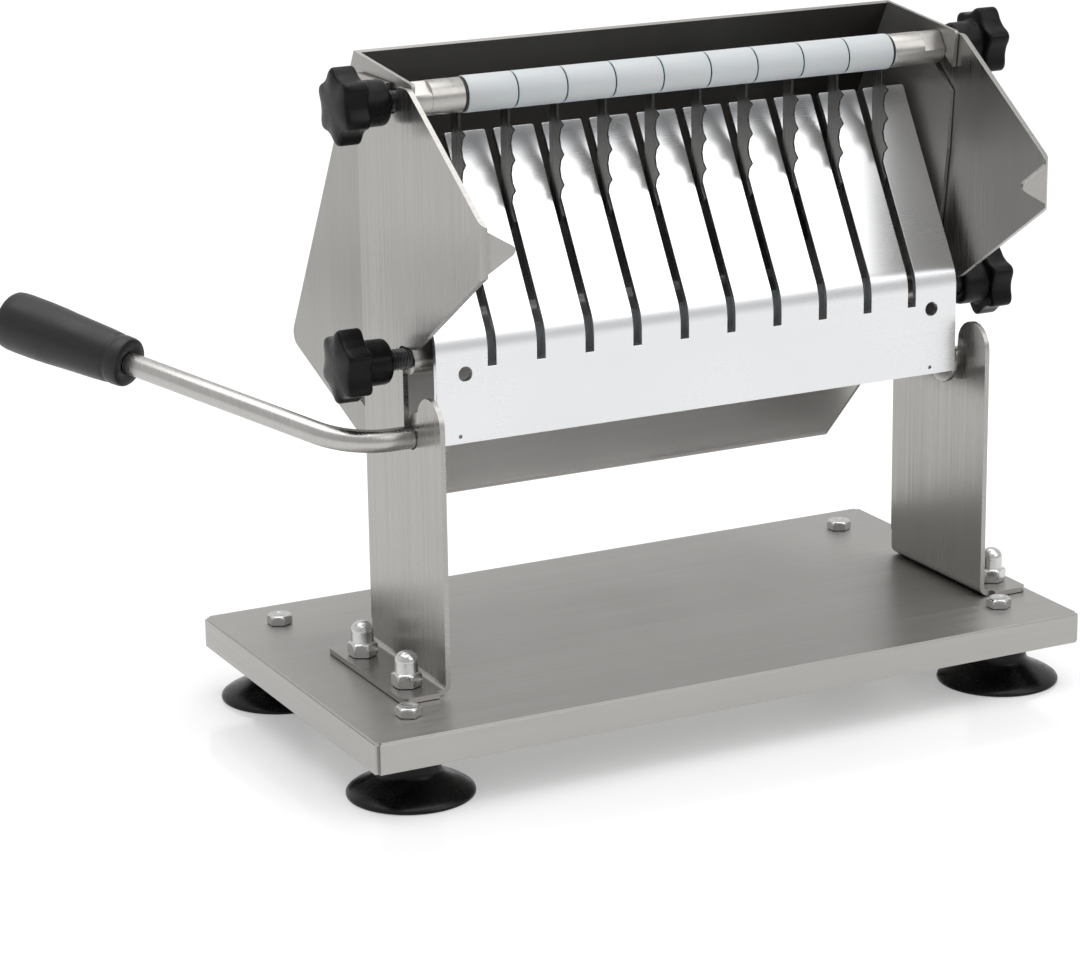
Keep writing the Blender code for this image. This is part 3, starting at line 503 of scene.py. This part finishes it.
def make_bars():
    """Each bar ends in a sleeve with two spanner flats and a threaded stud that carries the knob."""
    for label in ("upper", "lower"):
        for node, side in ((f"{label}_rod", -1), (f"{label}_sleeve_nut", 1)):
            low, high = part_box(node)
            middle = (low + high) / 2
            radius = (high.z - low.z) / 2
            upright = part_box("left_upright" if side < 0 else "right_upright")
            wall = upright[0].x + UPRIGHT_INSET if side < 0 else upright[1].x - UPRIGHT_INSET
            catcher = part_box("catcher")
            end_wall = catcher[0].x if side < 0 else catcher[1].x
            stop = wall if label == "lower" else end_wall - side * END_WALL
            tip = low.x if side < 0 else high.x
            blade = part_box(BLADES[0] if side < 0 else BLADES[-1])
            start = (blade[0].x if side < 0 else blade[1].x) + side * GAP
            length = abs(stop - start)
            place = along_x(start, middle.y, middle.z, side)
            facing = -side * (SLEEVE_FLATS[label][side] + math.pi / 2)
            flat_from = length - FLAT_LENGTH
            cut_radius = flatted(radius - 0.0001, facing)
            stations = [(0.0034, 0.0), (radius - 0.0004, 0.0), (radius - 0.0001, 0.0002), (radius, 0.0005),
                        (radius, flat_from - 0.0001), (radius - 0.0001, flat_from),
                        (cut_radius, flat_from + 0.00005), (cut_radius, length - 0.0006),
                        (lambda angle, whole=cut_radius: whole(angle) - 0.0002, length - 0.0002),
                        (lambda angle, whole=cut_radius: whole(angle) - 0.0006, length)]
            sleeve = ring_mesh(node, rings_from(stations, 96), place)
            stud_place = along_x(stop - side * 0.001, middle.y, middle.z, side)
            stud = thread(node, STUD_R, STUD_PITCH, abs(tip - stop) + 0.001, stud_place)
            finished(f"{node}_turned", sleeve, SLEEVE_STEEL, "fastener_steel", node)
            finished(f"{node}_stud", stud, STUD_STEEL, "fastener_steel", node)


# ---------------------------------------------------------------- star knobs
KNOB_HUB, KNOB_STAR, HUB_R = 0.0104, 0.0102, 0.0084
KNOB_TURNS = {"upper_left": 8, "lower_left": -6, "upper_right": 14, "lower_right": 4}


def star_radius(angle):
    return 0.0125 + 0.0013 * math.cos(6 * angle) + 0.0002 * math.cos(12 * angle)


def make_knobs():
    """Six-lobed moulded head with rounded rims and a softly domed face, on a round hub with a blind bore."""
    for label, turn in KNOB_TURNS.items():
        node = f"star_knob_{label}"
        side = -1 if "left" in label else 1
        low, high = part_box(node)
        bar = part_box(f"{label.split('_')[0]}_rod")
        y, z = (bar[0].y + bar[1].y) / 2, (bar[0].z + bar[1].z) / 2
        face = high.x if side < 0 else low.x
        place = along_x(face, y, z, side) @ Matrix.Rotation(math.radians(turn), 4, "Z")
        top = KNOB_HUB + KNOB_STAR

        def lobed(inset, share=1.0):
            mean = 0.0125
            return lambda angle: (mean + (star_radius(angle) - mean) * share) - inset

        rim, under = 0.0017, 0.0013
        stations = [(0.0043, 0.0012), (0.0046, 0.0006), (0.0050, 0.0003), (HUB_R - 0.0018, 0.0),
                    (HUB_R - 0.0009, 0.00025), (HUB_R - 0.0003, 0.0008), (HUB_R, 0.0017),
                    (HUB_R + 0.00005, 0.0060), (HUB_R + 0.0001, KNOB_HUB - 0.0009),
                    (HUB_R + 0.0003, KNOB_HUB - 0.0004), (HUB_R + 0.0008, KNOB_HUB - 0.0001)]
        stations += [(lobed(0.0029, 0.6), KNOB_HUB + 0.0), (lobed(0.0016, 0.85), KNOB_HUB + 0.00005)]
        for k in range(1, 6):
            swing = math.pi / 2 * k / 5
            height = KNOB_HUB + under * (1 - math.cos(swing))
            stations.append((lobed(under * (1 - math.sin(swing)), 1.0), height))
        stations.append((lobed(0.0), KNOB_HUB + KNOB_STAR / 2))
        for k in range(0, 7):
            swing = math.pi / 2 * k / 6
            stations.append((lobed(rim * (1 - math.cos(swing)), 1.0 - 0.1 * k / 6),
                             top - 0.0007 - rim + rim * math.sin(swing)))
        stations += [(lobed(0.0025, 0.8), top - 0.00052), (lobed(0.0045, 0.45), top - 0.00028),
                     (lobed(0.0075, 0.15), top - 0.00010), (0.0025, top - 0.00003), (0.0006, top)]
        outside = rings_from(stations, 144)
        bore = rings_from([(0.0043, 0.0012), (0.0043, 0.0185), (0.0008, 0.0190)], 144)
        mesh = ring_mesh(node, bore[::-1] + outside[1:], place, sharp=50.0)
        finished(f"{node}_moulded", mesh, PLASTIC, "black_plastic", node)


# ---------------------------------------------------------------- lever and grip
AXLE_R, BEND_R = 0.00425, 0.028
LEVER_TURN, LEVER_RISE = math.radians(30.5), math.radians(12.0)
GRIP_START, GRIP_LENGTH = 0.102, 0.05688


def swept_rod(name, path, radius, count=40):
    """A round skin along a path, with its end edges softened."""
    path = [Vector(point) for point in path]
    steps = [(path[k + 1] - path[k]).normalized() for k in range(len(path) - 1)]
    ways = [steps[0]] + [(a + b).normalized() for a, b in zip(steps, steps[1:])] + [steps[-1]]
    side = ways[0].orthogonal().normalized()
    angles = np.linspace(0.0, math.tau, count, endpoint=False)
    rings = []
    for index, (point, way) in enumerate(zip(path, ways)):
        side = (side - way * side.dot(way)).normalized()
        other = way.cross(side)
        ends = [(0.0, radius)]
        if index == 0:
            ends = [(0.0, radius - 0.0006), (0.0002, radius - 0.0002), (0.0006, radius)]
        elif index == len(path) - 1:
            ends = [(-0.0006, radius), (-0.0002, radius - 0.0002), (0.0, radius - 0.0006)]
        for shift, reach in ends:
            middle = point + way * shift
            spokes = [side * (reach * math.cos(angle)) + other * (reach * math.sin(angle))
                      for angle in angles]
            rings.append(np.array([tuple(middle + spoke) for spoke in spokes]))
    return ring_mesh(name, rings, Matrix())


def lever_frame():
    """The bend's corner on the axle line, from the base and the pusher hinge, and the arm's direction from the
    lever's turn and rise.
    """
    arm = Vector((-math.sin(LEVER_TURN), math.cos(LEVER_TURN) * math.cos(LEVER_RISE),
                  math.cos(LEVER_TURN) * math.sin(LEVER_RISE)))
    corner = Vector((STAND.x - 0.1303, HINGE.y, HINGE.z))
    return corner, arm


def make_lever():
    corner, arm = lever_frame()
    inward = Vector((1, 0, 0))
    half = inward.angle(arm) / 2
    middle = corner + (inward + arm).normalized() * (BEND_R / math.sin(half))
    first = corner + inward * (BEND_R / math.tan(half)) - middle
    axis = inward.cross(arm).normalized()
    sweep = math.pi - 2 * half
    right_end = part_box("lever_rod")[1].x
    path = [Vector((right_end, corner.y, corner.z)), Vector((right_end - 0.1, corner.y, corner.z))]
    path += [middle + Matrix.Rotation(-sweep * k / 28, 3, axis) @ first for k in range(29)]
    path += [corner + arm * (GRIP_START - 0.04), corner + arm * (GRIP_START + 0.040)]
    rod = swept_rod("lever_rod", path, AXLE_R)
    washers = []
    for low, high in ((-0.1037, -0.1019), (0.1222, 0.1242)):
        stations = profile([(AXLE_R - 0.0002, low), (0.0090, low, 0.0004), (0.0090, high, 0.0004),
                            (AXLE_R - 0.0002, high)], 4)
        place = along_x(STAND.x, corner.y, corner.z)
        washers.append(ring_mesh("washer", rings_from(stations + stations[:1], 72), place, False, False))
    finished("lever_rod_drawn", merged("lever_rod", rod, *washers), ROD_STEEL, "fastener_steel",
             "lever_rod", "lever_arm")

    place = Matrix.Translation(corner + arm * GRIP_START) @ arm.to_track_quat("Z", "Y").to_matrix().to_4x4()
    length = GRIP_LENGTH
    body = [(0.0034, length - 0.0009), (0.0060, length - 0.0004), (0.0088, length - 0.0001), (0.0098, length),
            (0.0106, length - 0.0003), (0.0111, length - 0.0010), (0.01135, length - 0.0024),
            (0.0115, length - 0.0060), (0.01145, length - 0.0150), (0.0112, length - 0.022),
            (0.0108, length * 0.5), (0.0104, length * 0.34), (0.0101, length * 0.22), (0.0098, 0.0085),
            (0.0097, 0.0072), (0.0095, 0.0067), (0.00935, 0.0062), (0.00935, 0.0055), (0.0095, 0.0050),
            (0.0096, 0.0045), (0.0095, 0.0016), (0.0093, 0.0006), (0.0088, 0.0), (0.0060, 0.0002),
            (AXLE_R + 0.0003, 0.0005), (AXLE_R + 0.0003, 0.012)]
    grip = ring_mesh("lever_grip", rings_from(body, 96), place, sharp=60.0)
    finished("lever_grip_moulded", grip, GRIP_PLASTIC, "black_plastic", "lever_grip")


# ---------------------------------------------------------------- feet and fasteners
def hex_reach(width):
    """Radius of a hexagon of this width across its flats."""
    def reach(angle):
        part = (angle + math.pi / 6) % (math.pi / 3) - math.pi / 6
        return width / 2 / math.cos(part)
    return reach


def clipped(reach, limit):
    return lambda angle: min(reach(angle), limit)


def make_feet():
    for end in ("front", "rear"):
        for side in ("left", "right"):
            node = f"suction_foot_{end}_{side}"
            low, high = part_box(node)
            middle = (low + high) / 2
            top, lip = high.z, (high.x - low.x) / 2
            stations = [(0.0030, 0.0130), (0.0030, top - 0.0002), (0.0100, top), (0.0107, top - 0.0002),
                        (0.0110, top - 0.0008), (0.0110, 0.0132), (0.0111, 0.0105), (0.01135, 0.0092),
                        (0.0119, 0.0082), (0.0129, 0.0072), (0.0144, 0.0061), (0.0162, 0.0051),
                        (0.0184, 0.0041), (0.0205, 0.0031), (0.0222, 0.0021), (lip - 0.0004, 0.0013),
                        (lip - 0.00008, 0.0008), (lip, 0.0004), (lip - 0.0001, 0.0), (lip - 0.0016, 0.0),
                        (0.0180, 0.0020), (0.0120, 0.0042), (0.0050, 0.0054), (0.0010, 0.0058)]
            mesh = ring_mesh(node, rings_from(stations, 112), Matrix.Translation((middle.x, middle.y, 0)))
            finished(f"{node}_moulded", mesh, RUBBER, "black_rubber", node)


BOLT_WIDTH, NUT_WIDTH = 0.00865, 0.0100
FLANGE_SEAT = 0.0026              # base's top to the seat of a nut on an upright's flange


def make_fasteners():
    for end in ("front", "rear"):
        for side in ("left", "right"):
            node = f"foot_bolt_{end}_{side}"
            low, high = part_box(node)
            middle = (low + high) / 2
            seat = BASE_TOP + GAP
            head = hex_reach(BOLT_WIDTH)
            rise = high.z - seat
            stations = [(0.0025, low.z), (0.0025, seat), (clipped(head, 0.0048), seat),
                        (head, seat + 0.0004), (head, seat + rise - 0.0012),
                        (clipped(head, 0.00475), seat + rise - 0.0007),
                        (clipped(head, 0.0043), seat + rise - 0.0003),
                        (0.0040, seat + rise - 0.0001), (0.0036, seat + rise), (0.0028, seat + rise - 0.0001),
                        (0.0022, seat + rise - 0.0004), (0.0006, seat + rise - 0.0006)]
            upright = Matrix.Translation((middle.x, middle.y, 0))
            mesh = ring_mesh(node, rings_from(stations, 96), upright, sharp=25.0)
            finished(f"{node}_pressed", mesh, NUT_STEEL, "fastener_steel", node)

            node = f"acorn_nut_{end}_{side}"
            low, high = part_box(node)
            middle = (low + high) / 2
            seat = BASE_TOP + FLANGE_SEAT
            shape = hex_reach(NUT_WIDTH)
            dome, radius = high.z, 0.0043
            shoulder = dome - radius * 0.9
            stations = [(0.0005, low.z), (0.0046, low.z), (0.0050, low.z + 0.0004), (0.0050, low.z + 0.003),
                        (0.0030, low.z + 0.003), (0.0030, seat), (clipped(shape, 0.0053), seat),
                        (shape, seat + 0.0005), (shape, seat + 0.0041),
                        (clipped(shape, 0.0054), seat + 0.0045), (clipped(shape, 0.0050), seat + 0.0048),
                        (0.0046, seat + 0.0050), (0.0044, seat + 0.0052), (radius, seat + 0.0056)]
            for k in range(13):
                swing = math.pi / 2 * k / 12
                height = shoulder + radius * 0.9 * math.sin(swing)
                stations.append((max(radius * math.cos(swing), 0.0003), height))
            upright = Matrix.Translation((middle.x, middle.y, 0))
            mesh = ring_mesh(node, rings_from(stations, 96), upright, sharp=25.0)
            finished(f"{node}_turned", mesh, NUT_STEEL, "fastener_steel", node)


# ---------------------------------------------------------------- floor, light and camera
def make_floor():
    low = CAD_BOUNDS[0]
    bpy.ops.mesh.primitive_plane_add(size=6.0, location=(0.0, 0.0, low[2] - 0.0003))
    floor = bpy.context.object
    floor.name = "floor"
    shader = Shader("floor_pale", (0.66, 0.66, 0.66), 0.12, Emission_Color=(1.0, 1.0, 1.0, 1.0),
                    Emission_Strength=0.30)
    shader.link(shader.ranged(shader.noise(3.0), 0.10, 0.14), shader.bsdf.inputs["Roughness"])
    floor.data.materials.append(shader.material)


def area_light(name, location, target, size, power):
    data = bpy.data.lights.new(name, "AREA")
    data.energy = power
    data.size = size
    lamp = bpy.data.objects.new(name, data)
    lamp.location = location
    aim = Vector(target) - Vector(location)
    lamp.rotation_euler = aim.to_track_quat("-Z", "Y").to_euler()
    bpy.context.scene.collection.objects.link(lamp)


def make_light():
    """A bright tent above and behind the object, and a dim room on the side it is looked at from."""
    world = bpy.data.worlds.new("studio")
    world.use_nodes = True
    tree = world.node_tree
    background = tree.nodes["Background"]
    coords = tree.nodes.new("ShaderNodeTexCoord")
    parts = tree.nodes.new("ShaderNodeSeparateXYZ")
    tree.links.new(coords.outputs["Generated"], parts.inputs["Vector"])
    ramp = tree.nodes.new("ShaderNodeMapRange")
    ramp.interpolation_type = "SMOOTHSTEP"
    ramp.inputs["From Min"].default_value = -0.9
    ramp.inputs["From Max"].default_value = 0.5
    ramp.inputs["To Min"].default_value = 0.62
    ramp.inputs["To Max"].default_value = 0.84
    tree.links.new(parts.outputs["Y"], ramp.inputs["Value"])
    tree.links.new(ramp.outputs["Result"], background.inputs["Strength"])
    background.inputs["Color"].default_value = (1.0, 1.0, 1.0, 1.0)
    bpy.context.scene.world = world
    bpy.context.scene.view_settings.view_transform = "Standard"
    middle = (STAND.x, STAND.y, 0.13)
    area_light("overhead", (0.0, 0.1, 2.3), middle, 2.4, 35.0)
    area_light("key", (0.75, -1.10, 1.12), middle, 1.1, 6.0)


VIEW_AZIMUTH, VIEW_ELEVATION, VIEW_ROLL = math.radians(-27.1), math.radians(16.81), math.radians(-0.72)
VIEW_DISTANCE, VIEW_RIGHT, VIEW_UP = 1.360, -0.02732, -0.04654


def make_camera():
    back = Vector((math.sin(VIEW_AZIMUTH) * math.cos(VIEW_ELEVATION),
                   -math.cos(VIEW_AZIMUTH) * math.cos(VIEW_ELEVATION), math.sin(VIEW_ELEVATION)))
    level = Vector((math.cos(VIEW_AZIMUTH), math.sin(VIEW_AZIMUTH), 0.0))
    above = back.cross(level)
    right = math.cos(VIEW_ROLL) * level + math.sin(VIEW_ROLL) * above
    up = -math.sin(VIEW_ROLL) * level + math.cos(VIEW_ROLL) * above
    place = Matrix((right, up, back)).transposed().to_4x4()
    aim = STAND + Vector((0, 0, 0.120))
    place.translation = aim + back * VIEW_DISTANCE + level * VIEW_RIGHT + above * VIEW_UP
    data = bpy.data.cameras.new("photo_view")
    data.sensor_width = 36.0
    data.lens = 118.5
    data.shift_x = -0.0269
    data.shift_y = 0.0268
    camera = bpy.data.objects.new("photo_view", data)
    camera.matrix_world = place
    bpy.context.scene.collection.objects.link(camera)
    bpy.context.scene.camera = camera


make_sheets()
make_spacers()
make_bars()
make_knobs()
make_lever()
make_feet()
make_fasteners()
make_floor()
make_light()
make_camera()

bpy.context.view_layer.update()
